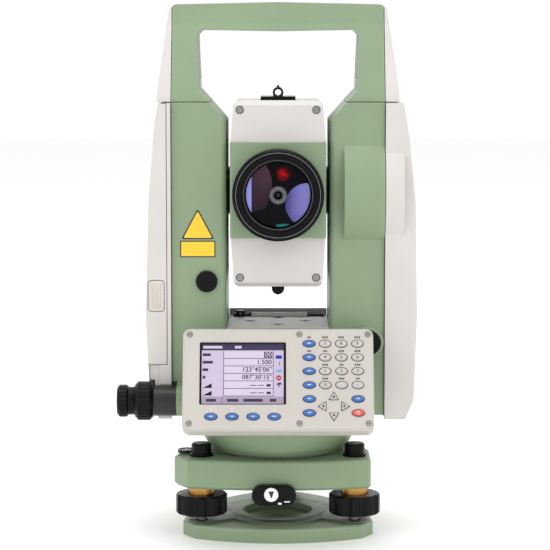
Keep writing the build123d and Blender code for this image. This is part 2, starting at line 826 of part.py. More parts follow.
def scope_cover(flat_z, crown_z):
    # a five-sided shell that narrows to a round-cornered crown, open where it meets the telescope body
    def shape(inset, base):
        step = math.copysign(1.0, crown_z - flat_z)
        w = cover_base_half - inset
        top = cover_half_w - inset
        crown = crown_z - step * inset
        shoulder = crown - step * 3.0
        front = outline((-w, base), (w, base), (top, crown), (-top, crown))
        front = fillet(front.vertices().filter_by(lambda v: abs(v.Y - crown) < 0.1), scope_corner_r)
        side = outline(
            (-41.0 + inset, base), (45.0 - inset, base), (45.0 - inset, shoulder - step * 7.0),
            (36.0 - inset, crown), (-38.6 + inset, crown), (-41.0 + inset, shoulder),
        )
        return prism_y(front, -60.0, 60.0) & prism_x(side, -40.0, 40.0)
    return shape(0.0, flat_z) - shape(2.2, flat_z)


def scope_screw_spots(crown_z):
    step = math.copysign(1.0, crown_z - trunnion_z)
    return [(x, crown_z - step * 6.2) for x in (-cover_half_w + 4.0, cover_half_w - 4.0)]


def drilled_for_screws(cover, crown_z):
    for x, z in scope_screw_spots(crown_z):
        for y0, y1 in ((-42.0, -38.0), (42.0, 46.0)):
            cover -= rod_y(screw_head_r + 0.6, y0, y1, x, z)
    return cover


def telescope_top_cover():
    cover = scope_cover(trunnion_z + scope_half_h + 2.3, top_cover_z)
    for x, z in scope_screw_spots(top_cover_z):
        cover += rod_y(screw_head_r + 1.6, -39.6, 43.6, x, z) & scope_room(top_cover_z)
    return drilled_for_screws(cover, top_cover_z)


def telescope_bottom_cover():
    cover = scope_cover(trunnion_z - scope_half_h + 2.3, bottom_cover_z)
    for x, z in scope_screw_spots(bottom_cover_z):
        cover += rod_y(screw_head_r + 1.6, -39.6, 43.6, x, z) & scope_room(bottom_cover_z)
    return drilled_for_screws(cover, bottom_cover_z)


def scope_room(crown_z):
    low = min(crown_z, trunnion_z)
    high = max(crown_z, trunnion_z)
    half = cover_half_w - 0.8
    return block(-half, half, -41.0, 45.0, low + 2.0, high - 2.0)


def telescope_screws():
    screw = rod_z(screw_head_r, -1.6, 0)
    screw -= Box(3.0, 0.6, 1.0)
    screws = []
    for crown_z in (top_cover_z, bottom_cover_z):
        for x, z in scope_screw_spots(crown_z):
            screws.append(Pos(x, -39.6, z) * Rot(90, 0, 0) * screw)
            screws.append(Pos(x, 43.6, z) * Rot(-90, 0, 0) * screw)
    return screws


def objective_ring():
    ring = rod_y(objective_r, objective_front_y, scope_front_y, 0, trunnion_z)
    ring = chamfer(ring.edges().group_by(Axis.Y)[0], 1.2)
    ring -= rod_y(lens_r, objective_front_y, scope_front_y, 0, trunnion_z)
    ring -= rod_y(lens_r + 3.2, objective_front_y, objective_front_y + 4.0, 0, trunnion_z)
    return ring


def objective_lens():
    lens = rod_y(lens_r, -52.5, -47.0, 0, trunnion_z)
    return lens - rod_y(coaxial_r, -52.5, -47.0, 0, trunnion_z)


def coaxial_tube():
    tube = rod_y(coaxial_r, -56.5, -38.0, 0, trunnion_z)
    return tube - rod_y(3.0, -56.5, -42.0, 0, trunnion_z)


def trunnion_axles():
    axles = []
    for side in (1, -1):
        axle = rod_x(trunnion_r, scope_half_w, 56.0, 0, trunnion_z)
        axle += rod_x(collar_r, scope_half_w, yoke_half_gap - free_gap, 0, trunnion_z)
        axles.append(axle if side > 0 else mirrored(axle))
    return axles


def vertical_circle():
    disc = rod_x(vertical_circle_r, 50.0, 52.5, 0, trunnion_z)
    return disc - rod_x(trunnion_r, 50.0, 52.5, 0, trunnion_z)


def collimator_sights():
    top = block(-11.7, 11.7, -24.0, 16.0, top_cover_z, top_cover_z + 2.4)
    top += rod_y(3.6, -22.0, 14.0, 0, top_cover_z + 5.0)
    top -= rod_y(2.2, -22.0, 14.0, 0, top_cover_z + 5.0)
    top += Pos(0, -14.0, top_cover_z + 8.8) * Cone(1.4, 0.5, 2.4)
    low = block(-4.3, 4.3, -20.0, 14.0, bottom_cover_z - 3.2, bottom_cover_z)
    low += rod_y(4.3, -20.0, 14.0, 0, bottom_cover_z - 3.2)
    low &= block(-10.0, 10.0, -30.0, 30.0, bottom_cover_z - 10.0, bottom_cover_z)
    return [top, low]


def focus_ring():
    ring = fluted_knob(focus_r, 15.6, 36, eye_tube_r + running)
    return Pos(0, scope_back_y + free_gap, trunnion_z) * Rot(-90, 0, 0) * ring


def eyepiece():
    length = eyepiece_end_y - 68.4
    barrel = fluted_knob(eyepiece_r, length, 30, 0)
    barrel += rod_z(10.0, -24.0, 0)
    barrel -= rod_z(5.0, -24.0, length)
    barrel -= rod_z(8.5, length - 3.0, length)
    return Pos(0, 68.4, trunnion_z) * Rot(-90, 0, 0) * barrel


# ---- write every piece ---------------------------------------------------------------

def as_shape(piece):
    return Compound(children=list(piece)) if isinstance(piece, list) else piece


def all_pieces():
    pieces = {
        "base_plate": base_plate(),
        "spring_plate": spring_plate(),
        "back_ball_seat": back_ball_seat(),
    }
    for name, angle in foot_angles.items():
        pieces["foot_spindle_" + name] = foot_spindle(angle)
        pieces["foot_knob_" + name] = foot_knob(angle)
    for build in (
        foot_screw_bushes, foot_caps, tribrach_body, circular_level, clamp_knob, clamp_ring,
        instrument_base, horizontal_circle, axis_spindle, lower_housing, alidade_frame, deck_plate,
        left_cover, battery_door, battery_latch, battery_pack, right_cover, trunnion_bearings,
        spring_cap, data_port_cap, plate_level_case, plate_level_vial, h_clamp_knob, h_tangent_knob,
        v_clamp_knob, v_tangent_knob, panel_case, panel_bezel, display_window, circuit_board,
        cover_screws, handle, handle_side_covers, handle_screws, telescope_body,
        telescope_top_cover, telescope_bottom_cover, telescope_screws, objective_ring,
        objective_lens, coaxial_tube, trunnion_axles, vertical_circle, collimator_sights,
        focus_ring, eyepiece,
    ):
        pieces[build.__name__] = build()
    pieces["soft_keys"] = keys(ellipse_keys(soft_key_spots(), 0))
    pieces["function_keys"] = keys(ellipse_keys(function_key_spots(), 0))
    pieces["digit_keys"] = keys(digit_shapes(0))
    pieces["cursor_keys"] = keys(arrow_shapes(0) + [enter_shape(0)])
    pieces["power_key"] = keys([power_shape(0)])
    return pieces


os.makedirs("parts", exist_ok=True)
for node, piece in all_pieces().items():
    export_step(as_shape(piece), "parts/" + node + ".step")
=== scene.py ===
import json
import math
import bmesh
import bpy
from mathutils import Matrix, Vector


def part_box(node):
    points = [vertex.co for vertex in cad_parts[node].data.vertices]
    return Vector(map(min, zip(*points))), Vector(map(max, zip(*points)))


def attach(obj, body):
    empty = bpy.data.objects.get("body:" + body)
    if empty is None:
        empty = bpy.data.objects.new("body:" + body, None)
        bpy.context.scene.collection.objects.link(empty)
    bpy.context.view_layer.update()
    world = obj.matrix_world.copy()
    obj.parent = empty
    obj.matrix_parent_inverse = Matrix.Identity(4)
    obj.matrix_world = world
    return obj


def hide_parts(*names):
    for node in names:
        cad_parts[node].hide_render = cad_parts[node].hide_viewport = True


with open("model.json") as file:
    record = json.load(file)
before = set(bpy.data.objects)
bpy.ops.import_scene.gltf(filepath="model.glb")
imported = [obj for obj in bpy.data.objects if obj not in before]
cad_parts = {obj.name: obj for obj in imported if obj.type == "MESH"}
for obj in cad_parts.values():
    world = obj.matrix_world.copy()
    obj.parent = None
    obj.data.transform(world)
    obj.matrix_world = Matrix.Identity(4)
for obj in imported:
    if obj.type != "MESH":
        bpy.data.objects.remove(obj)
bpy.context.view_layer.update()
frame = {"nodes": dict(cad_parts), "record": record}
nodes = frame["nodes"]
MM = 0.001

# the camera stands in front of the panel, a little above the handle, in metres
CAMERA_AT = (-0.00206, -1.4072, 0.3226)
CAMERA_AIM = (-0.00206, 0.0, 0.1747)
CAMERA_LENS_MM = 134.7

# ---- node graphs ---------------------------------------------------------------------


def linear(rgb, gain=1.0):
    def one(c):
        c = c / 255.0
        c = c / 12.92 if c <= 0.04045 else ((c + 0.055) / 1.055) ** 2.4
        return min(c * gain, 1.0)
    return tuple(one(c) for c in rgb) + (1.0,)


class Graph:
    """A material's node tree, with short calls for the nodes used here."""

    def __init__(self, name):
        self.material = bpy.data.materials.new(name)
        self.material.use_nodes = True
        self.tree = self.material.node_tree
        self.tree.nodes.clear()
        self.out = self.tree.nodes.new("ShaderNodeOutputMaterial")
        self.shader = self.tree.nodes.new("ShaderNodeBsdfPrincipled")
        self.tree.links.new(self.shader.outputs[0], self.out.inputs[0])
        self.place = self.make("TexCoord").outputs["Object"]

    def make(self, kind, **settings):
        made = self.tree.nodes.new("ShaderNode" + kind)
        for key, value in settings.items():
            setattr(made, key, value)
        return made

    def put(self, socket, value):
        if isinstance(value, bpy.types.NodeSocket):
            self.tree.links.new(value, socket)
        else:
            socket.default_value = value

    def set(self, name, value):
        self.put(self.shader.inputs[name], value)

    def noise(self, scale, detail=3.0, rough=0.55, place=None, distortion=0.0):
        n = self.make("TexNoise")
        self.put(n.inputs["Vector"], place or self.place)
        n.inputs["Scale"].default_value = scale
        n.inputs["Detail"].default_value = detail
        n.inputs["Roughness"].default_value = rough
        n.inputs["Distortion"].default_value = distortion
        return n.outputs["Fac"]

    def stretched(self, scale):
        n = self.make("Mapping")
        self.put(n.inputs["Vector"], self.place)
        n.inputs["Scale"].default_value = scale
        return n.outputs["Vector"]

    def span(self, value, low, high, to_low, to_high, smooth=False):
        n = self.make("MapRange")
        if smooth:
            n.interpolation_type = "SMOOTHSTEP"
        self.put(n.inputs["Value"], value)
        n.inputs["From Min"].default_value = low
        n.inputs["From Max"].default_value = high
        n.inputs["To Min"].default_value = to_low
        n.inputs["To Max"].default_value = to_high
        return n.outputs["Result"]

    def math(self, operation, a, b=0.0):
        n = self.make("Math", operation=operation)
        self.put(n.inputs[0], a)
        self.put(n.inputs[1], b)
        return n.outputs[0]

    def mix(self, factor, a, b, blend="MIX"):
        n = self.make("Mix", data_type="RGBA", blend_type=blend)
        self.put(n.inputs[0], factor)
        self.put(n.inputs[6], a)
        self.put(n.inputs[7], b)
        return n.outputs[2]

    def axes(self):
        n = self.make("SeparateXYZ")
        self.put(n.inputs[0], self.place)
        return n.outputs

    def rounded(self, radius):
        n = self.make("Bevel", samples=4)
        n.inputs["Radius"].default_value = radius
        return n.outputs["Normal"]

    def edge(self, rounded, sharpest=0.10):
        true = self.make("NewGeometry").outputs["Normal"]
        n = self.make("VectorMath", operation="DOT_PRODUCT")
        self.put(n.inputs[0], rounded)
        self.put(n.inputs[1], true)
        turn = self.math("SUBTRACT", 1.0, n.outputs["Value"])
        return self.span(turn, 0.0, sharpest, 0.0, 1.0)

    def bump(self, height, strength, distance, normal=None):
        n = self.make("Bump")
        n.inputs["Strength"].default_value = strength
        n.inputs["Distance"].default_value = distance
        self.put(n.inputs["Height"], height)
        if normal is not None:
            self.put(n.inputs["Normal"], normal)
        return n.outputs["Normal"]

    def wave(self, direction, scale, distortion=0.4):
        n = self.make("TexWave", wave_type="BANDS", bands_direction=direction)
        self.put(n.inputs["Vector"], self.place)
        n.inputs["Scale"].default_value = scale
        n.inputs["Distortion"].default_value = distortion
        n.inputs["Detail"].default_value = 2.0
        return n.outputs["Fac"]


def surface(name, rgb, rough=0.4, metal=0.0, drift=0.05, grain=1500.0, relief=0.12, edge=0.0,
            edge_rgb=(235, 238, 228), round_mm=0.6, speck=0.0, turned=None, brushed=None, coat=0.0,
            specular=0.5, gain=1.0):
    """A finish with drifting tone, fine relief, rounded edges, edges lightened as part wear and part painted
    highlight, and uneven gloss.
    """
    g = Graph(name)
    base = linear(rgb, gain)
    dark = tuple(c * (1 - drift) for c in base[:3]) + (1.0,)
    light = tuple(min(c * (1 + drift), 1.0) for c in base[:3]) + (1.0,)
    broad = g.span(g.noise(22.0, 4.0), 0.3, 0.7, 0.0, 1.0)
    colour = g.mix(broad, dark, light)
    fine = g.noise(grain, 2.0)
    if speck:
        dots = g.span(g.noise(grain * 1.7, 1.0), 0.62, 0.74, 0.0, speck)
        colour = g.mix(dots, colour, tuple(c * 0.45 for c in base[:3]) + (1.0,))
    rounded = g.rounded(round_mm * MM)
    if edge:
        # edges lightened towards edge_rgb: part wear, part painted highlight
        edge_wear_and_highlight = g.math("MULTIPLY", g.edge(rounded), g.span(g.noise(180.0), 0.25, 0.7, edge * 0.35, edge))
        colour = g.mix(edge_wear_and_highlight, colour, linear(edge_rgb))
    g.set("Base Color", colour)
    g.set("Metallic", metal)
    g.set("Specular IOR Level", specular)
    g.set("Roughness", g.span(g.noise(160.0, 4.0), 0.25, 0.75, max(rough - 0.07, 0.02), rough + 0.07))
    if coat:
        g.set("Coat Weight", coat)
        g.set("Coat Roughness", 0.08)
    normal = g.bump(fine, relief, 0.00012, rounded)
    if turned:
        normal = g.bump(g.wave(turned, 900.0), 0.25, 0.00008, normal)
    if brushed:
        normal = g.bump(g.noise(300.0, 3.0, place=g.stretched(brushed)), 0.3, 0.00008, normal)
    g.set("Normal", normal)
    return g


GREEN = (131, 151, 120)
made = {}


def keep(key, graph):
    made[key] = graph.material
    return graph


keep("casting_green", surface("green_paint", GREEN, 0.42, drift=0.045, grain=1300.0, relief=0.16, edge=0.45,
                              edge_rgb=(205, 220, 190), round_mm=1.0, speck=0.10))
keep("cover_grey", surface("warm_grey_paint", (204, 200, 196), 0.44, drift=0.03, grain=1500.0, relief=0.14,
                           edge=0.5, edge_rgb=(232, 229, 224), round_mm=1.0, speck=0.08))
keep("panel_grey", surface("panel_plastic", (188, 183, 176), 0.48, drift=0.03, grain=2200.0, relief=0.18,
                           edge=0.45, edge_rgb=(222, 217, 208), round_mm=0.9, speck=0.10))
keep("black_plastic", surface("black_moulding", (10, 10, 11), 0.30, drift=0.18, grain=1800.0, relief=0.22,
                              edge=0.20, edge_rgb=(84, 84, 86), round_mm=0.45, speck=0.2, specular=0.14))
keep("rubber_black", surface("black_rubber", (11, 11, 12), 0.55, drift=0.15, grain=2600.0, relief=0.35,
                             edge=0.2, edge_rgb=(70, 70, 72), round_mm=0.4, specular=0.14))
keep("anodised_black", surface("anodised_black", (3, 3, 4), 0.28, 0.0, drift=0.12, grain=2200.0,
                               relief=0.10, edge=0.25, edge_rgb=(120, 120, 125), round_mm=0.4, turned="Y",
                               specular=0.13))
keep("spring_steel", surface("spring_steel", (104, 112, 100), 0.44, 0.55, drift=0.10, relief=0.08, edge=0.4,
                             edge_rgb=(190, 192, 190), round_mm=0.25, brushed=(1.0, 40.0, 40.0)))
keep("steel", surface("machined_steel", (128, 130, 128), 0.32, 0.9, drift=0.08, relief=0.08, edge=0.4,
                      edge_rgb=(210, 210, 208), round_mm=0.3, turned="Z"))
keep("steel_bright", surface("bright_steel", (190, 190, 188), 0.22, 1.0, drift=0.06, relief=0.06, edge=0.4,
                             edge_rgb=(240, 240, 240), round_mm=0.3, turned="Z"))
keep("brass", surface("turned_brass", (214, 158, 84), 0.26, 0.95, drift=0.12, relief=0.06, edge=0.5,
                      edge_rgb=(250, 215, 150), round_mm=0.4, turned="Z"))
keep("nylon", surface("nylon", (226, 222, 210), 0.5, drift=0.04, relief=0.1, edge=0.2, round_mm=0.5))
keep("level_black", surface("level_case_black", (17, 17, 18), 0.40, 0.1, drift=0.15, relief=0.2, edge=0.35,
                            edge_rgb=(120, 120, 124), round_mm=0.35))
keep("circle_glass", surface("divided_circle_glass", (190, 205, 205), 0.06, drift=0.03, relief=0.02, coat=0.6,
                             round_mm=0.2))
keep("deck_grey", surface("brushed_deck", (170, 170, 166), 0.42, 0.35, drift=0.05, relief=0.10, edge=0.5,
                          edge_rgb=(215, 215, 212), round_mm=0.4, brushed=(1.0, 60.0, 60.0)))
keep("latch_grey", surface("latch_moulding", (203, 197, 189), 0.45, drift=0.04, grain=2000.0, relief=0.16,
                           edge=0.5, edge_rgb=(245, 242, 236), round_mm=0.4))
keep("battery_black", surface("battery_case", (20, 20, 22), 0.48, drift=0.12, grain=2100.0, relief=0.3,
                              edge=0.25, edge_rgb=(95, 95, 98), round_mm=0.5))
keep("screw_dark", surface("blackened_screw", (44, 44, 45), 0.30, 0.85, drift=0.12, relief=0.1, edge=0.55,
                           edge_rgb=(170, 170, 168), round_mm=0.25))
keep("screw_pale", surface("pale_screw", (150, 150, 146), 0.32, 0.8, drift=0.10, relief=0.1, edge=0.5,
                           edge_rgb=(225, 225, 222), round_mm=0.25))
keep("key_blue", surface("key_rubber_blue", (50, 98, 176), 0.38, drift=0.06, grain=2400.0, relief=0.10,
                         edge=0.25, edge_rgb=(150, 185, 240), round_mm=0.3, coat=0.15))
keep("key_grey", surface("key_rubber_grey", (182, 181, 178), 0.42, drift=0.05, grain=2400.0, relief=0.10,
                         edge=0.3, edge_rgb=(235, 234, 232), round_mm=0.3, coat=0.1))
keep("key_red", surface("key_rubber_red", (214, 84, 80), 0.38, drift=0.06, grain=2400.0, relief=0.10,
                        edge=0.25, edge_rgb=(250, 185, 180), round_mm=0.3, coat=0.15))
keep("coaxial_grey", surface("coaxial_tube_grey", (74, 74, 80), 0.30, 0.6, drift=0.10, relief=0.08,
                             edge=0.5, edge_rgb=(210, 210, 215), round_mm=0.4, turned="Y"))
keep("silver_line", surface("polished_retaining_ring", (120, 122, 126), 0.3, 0.9, drift=0.08, relief=0.06,
                            edge=0.3, round_mm=0.15, turned="Y"))
keep("sticker", surface("yellow_sticker", (240, 196, 40), 0.38, drift=0.04, grain=2600.0, relief=0.08,
                        round_mm=0.05, coat=0.2, speck=0.05))
keep("ink", surface("print_ink", (38, 36, 38), 0.5, drift=0.10, grain=3000.0, relief=0.08, round_mm=0.05))
# dark ring round the keys: key socket grey with painted shadow
keep("well_shadow", surface("key_socket_shadow", (84, 80, 76), 0.6, drift=0.08, grain=2600.0, relief=0.1,
                            round_mm=0.05, specular=0.2))
keep("pale_ink", surface("pale_print", (226, 230, 236), 0.5, drift=0.05, grain=3000.0, relief=0.08,
                         round_mm=0.05))
keep("white_print", surface("white_disc", (238, 238, 236), 0.42, drift=0.03, grain=2600.0, relief=0.1,
                            round_mm=0.1))
keep("sleeve_white", surface("level_sleeve", (232, 233, 230), 0.3, 0.1, drift=0.04, relief=0.06, edge=0.3,
                             round_mm=0.2, turned="X", coat=0.3))
keep("display", surface("display_glass", (26, 18, 30), 0.15, drift=0.1, grain=900.0, relief=0.01,
                        round_mm=0.1, coat=0.08, specular=0.1))


def screen_finish(key, rgb):
    keep(key, surface("screen_" + key, rgb, 0.4, drift=0.025, grain=4200.0, relief=0.03, round_mm=0.02,
                      coat=0.05, speck=0.05, specular=0.15, gain=0.76))


screen_finish("lcd_ground", (214, 201, 226))
screen_finish("lcd_field", (226, 214, 236))
screen_finish("lcd_line", (112, 100, 126))
screen_finish("lcd_header", (70, 62, 96))
screen_finish("lcd_pale", (224, 214, 234))
screen_finish("lcd_text", (66, 58, 82))
screen_finish("lcd_footer", (180, 166, 190))
screen_finish("lcd_blue", (28, 62, 178))
screen_finish("lcd_cyan", (96, 170, 226))
screen_finish("lcd_red", (206, 58, 78))
screen_finish("lcd_black", (30, 26, 36))


def frame_paint():
    """The standards' paint, and the black drive barrels that are cast with them."""
    g = surface("standards_paint", GREEN, 0.40, drift=0.045, grain=1300.0, relief=0.16, edge=0.45,
                edge_rgb=(205, 220, 190), round_mm=1.0, speck=0.10)
    x, y, z = g.axes()
    green = g.shader.inputs["Base Color"].links[0].from_socket
    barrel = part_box("h_clamp_knob")
    end_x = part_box("left_cover")[1].x + 3.6 * MM
    beside = g.math("LESS_THAN", x, end_x)
    below = g.math("LESS_THAN", z, barrel[1].z - 1.0 * MM)
    side = g.math("MULTIPLY", beside, below)
    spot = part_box("v_clamp_knob")
    middle = (spot[0] + spot[1]) / 2
    back_y = -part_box("left_cover")[0].y - 2.9 * MM
    dx = g.math("ABSOLUTE", g.math("SUBTRACT", x, middle.x))
    dz = g.math("ABSOLUTE", g.math("SUBTRACT", z, middle.z))
    near = g.math("MULTIPLY", g.math("LESS_THAN", dx, 0.0125), g.math("LESS_THAN", dz, 0.0125))
    back = g.math("MULTIPLY", near, g.math("GREATER_THAN", y, back_y))
    black = g.math("MAXIMUM", side, back)
    tone = g.mix(g.noise(400.0), linear((13, 13, 14)), linear((20, 20, 21)))
    g.set("Base Color", g.mix(black, green, tone))
    return g


keep("frame_paint", frame_paint())


def two_tone_screws():
    """The panel's screws are pale and the deck's are blackened."""
    g = surface("panel_and_deck_screws", (150, 150, 146), 0.32, 0.8, drift=0.10, relief=0.1, edge=0.5,
                edge_rgb=(225, 225, 222), round_mm=0.25)
    pale = g.shader.inputs["Base Color"].links[0].from_socket
    dark = g.mix(g.noise(300.0), linear((20, 20, 21)), linear((40, 40, 42)))
    front = g.math("LESS_THAN", g.axes()[1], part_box("deck_plate")[0].y - 5.0 * MM)
    g.set("Base Color", g.mix(front, dark, pale))
    return g


keep("two_tone_screws", two_tone_screws())


def board_material():
    """Circuit board: solder mask with copper tracks and pads."""
    g = surface("circuit_board", (24, 84, 52), 0.30, drift=0.10, relief=0.05, round_mm=0.1, coat=0.4)
    mask = g.shader.inputs["Base Color"].links[0].from_socket
    tracks = g.make("TexBrick")
    g.put(tracks.inputs["Vector"], g.stretched((420.0, 420.0, 420.0)))
    tracks.inputs["Scale"].default_value = 1.0
    tracks.inputs["Mortar Size"].default_value = 0.03
    g.set("Base Color", g.mix(tracks.outputs["Fac"], mask, linear((176, 132, 62))))
    return g


keep("board_green", board_material())


def vial_material(name, rgb, clear=0.75):
    """Level glass with its yellow-green spirit: clear, with faint streaks."""
    g = surface(name, rgb, 0.06, drift=0.04, grain=600.0, relief=0.02, round_mm=0.15, coat=0.5)
    g.set("Transmission Weight", clear)
    g.set("IOR", 1.47)
    return g


keep("vial_glass", vial_material("level_spirit", (206, 222, 150)))
keep("bubble", vial_material("level_bubble", (240, 244, 238), 0.5))


def lens_material(middle):
    """Objective: dark interior behind a coated front, with painted lamp reflections, a painted red glow and a
    painted teal glint on the coat.
    """
    g = surface("coated_objective", (5, 5, 8), 0.05, drift=0.2, grain=500.0, relief=0.0, round_mm=0.05,
                coat=0.03, specular=0.05)
    x, y, z = g.axes()
    u = g.math("MULTIPLY", g.math("SUBTRACT", x, middle.x), 1000.0)
    v = g.math("MULTIPLY", g.math("SUBTRACT", z, middle.z), 1000.0)

    def disc(cu, cv, radius, soft=0.25, squash=1.0):
        du = g.math("SUBTRACT", u, cu)
        dv = g.math("MULTIPLY", g.math("SUBTRACT", v, cv), squash)
        far = g.math("SQRT", g.math("ADD", g.math("MULTIPLY", du, du), g.math("MULTIPLY", dv, dv)))
        return g.span(far, radius - soft, radius + soft, 1.0, 0.0, True)

    def side(nu, nv, at, soft=0.3):
        along = g.math("ADD", g.math("MULTIPLY", u, nu), g.math("MULTIPLY", v, nv))
        return g.span(along, at - soft, at + soft, 0.0, 1.0, True)

    def both(*masks):
        result = masks[0]
        for mask in masks[1:]:
            result = g.math("MULTIPLY", result, mask)
        return result

    inside = disc(0.0, 0.0, 21.2)
    streak = g.noise(90.0, 3.0, distortion=0.8)
    colour = g.mix(g.noise(40.0), linear((3, 3, 5)), linear((9, 8, 13)))
    # painted reflection of a lamp: a dull purple patch on the left, lighter towards the top
    mauve_reflection = g.mix(g.span(v, -10.0, 18.0, 0.0, 1.0), linear((34, 27, 38)), linear((74, 50, 62)))
    left = both(inside, disc(-29.0, 6.0, 25.0), side(-0.26, 0.96, -6.4))
    colour = g.mix(left, colour, mauve_reflection)
    # painted reflection of a lamp: a large blue-purple patch on the right, streaked and brighter outwards
    violet_reflection = g.mix(g.span(u, 5.0, 21.0, 0.0, 1.0), linear((64, 62, 124)), linear((138, 138, 214)))
    violet_reflection = g.mix(g.span(streak, 0.45, 0.7, 0.0, 0.5), violet_reflection, linear((120, 112, 160)))
    right = both(inside, disc(19.0, -6.5, 14.2), side(0.49, -0.87, -0.4), side(0.87, 0.49, -0.6))
    colour = g.mix(right, colour, violet_reflection)
    # painted reflection: a thin bright blue band near the left edge of the lens
    rim_reflection = both(inside, side(-1.0, 0.0, 17.6, 0.2), side(0.0, 1.0, -11.5), side(0.0, -1.0, -12.5))
    colour = g.mix(rim_reflection, colour, linear((150, 152, 226)))
    # painted red glow near the top, standing for light from the laser pointer
    flicker = g.span(g.noise(420.0, 2.0), 0.38, 0.6, 0.25, 1.0)
    glow = both(disc(3.4, 13.8, 3.0, 2.6), flicker)
    colour = g.mix(glow, colour, linear((176, 4, 20)))
    # painted teal glint near the bottom
    glint = both(inside, disc(3.5, -20.4, 5.0, 0.5, 4.0))
    colour = g.mix(glint, colour, linear((24, 116, 112)))
    g.set("Base Color", colour)
    g.set("Roughness", 0.04)
    return g


scope_middle = (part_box("objective_lens")[0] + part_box("objective_lens")[1]) / 2
keep("lens_glass", lens_material(scope_middle))
keep("eye_glass", surface("eyepiece_glass", (8, 7, 14), 0.05, drift=0.3, grain=500.0, relief=0.0,
                          round_mm=0.05, coat=0.25, specular=0.2))

# ---- finishes of the carried-over CAD nodes --------------------------------------------

by_slot = {s["node"]: s["material_slot"] for s in frame["record"]["subparts"]}
special = {"alidade_frame": "frame_paint", "coaxial_tube": "coaxial_grey", "telescope_screws": "screw_pale",
           "cover_screws": "two_tone_screws"}
for name, node in nodes.items():
    key = special.get(name, by_slot.get(name))
    node.data.materials.clear()
    node.data.materials.append(made[key])

# ---- mesh building ---------------------------------------------------------------------


def frame_at(origin, u_axis, v_axis):
    """Local millimetres (u, v, n) into the row frame in metres."""
    u = Vector(u_axis)
    v = Vector(v_axis)
    n = u.cross(v)
    m = Matrix.Identity(4)
    for row in range(3):
        m[row][0] = u[row] * MM
        m[row][1] = v[row] * MM
        m[row][2] = n[row] * MM
        m[row][3] = origin[row]
    return m


def rounded_polygon(corners, radius, steps=5):
    """A convex polygon's outline with round corners, counter-clockwise."""
    points = []
    count = len(corners)
    for k in range(count):
        here = Vector(corners[k])
        a = (Vector(corners[k - 1]) - here).normalized()
        b = (Vector(corners[(k + 1) % count]) - here).normalized()
        half = a.angle(b) / 2
        middle = here + (a + b).normalized() * (radius / math.sin(half))
        start = here + a * (radius / math.tan(half)) - middle
        end = here + b * (radius / math.tan(half)) - middle
        turn = math.atan2(start.x * end.y - start.y * end.x, start.dot(end))
        for s in range(steps + 1):
            t = turn * s / steps
            points.append((middle.x + start.x * math.cos(t) - start.y * math.sin(t),
                           middle.y + start.x * math.sin(t) + start.y * math.cos(t)))
    return points


def rectangle(cu, cv, w, h, radius, steps=4):
    corners = [(cu - w / 2, cv - h / 2), (cu + w / 2, cv - h / 2),
               (cu + w / 2, cv + h / 2), (cu - w / 2, cv + h / 2)]
    return rounded_polygon(corners, radius, steps)


def ellipse(cu, cv, a, b, count=40):
    turns = [2 * math.pi * k / count for k in range(count)]
    return [(cu + a * math.cos(t), cv + b * math.sin(t)) for t in turns]


def shrunk(outline, amount):
    """The outline drawn in by about that amount on every side."""
    us = [p[0] for p in outline]
    vs = [p[1] for p in outline]
    cu = (min(us) + max(us)) / 2
    cv = (min(vs) + max(vs)) / 2
    su = 1 - 2 * amount / (max(us) - min(us))
    sv = 1 - 2 * amount / (max(vs) - min(vs))
    return [(cu + (p[0] - cu) * su, cv + (p[1] - cv) * sv) for p in outline]


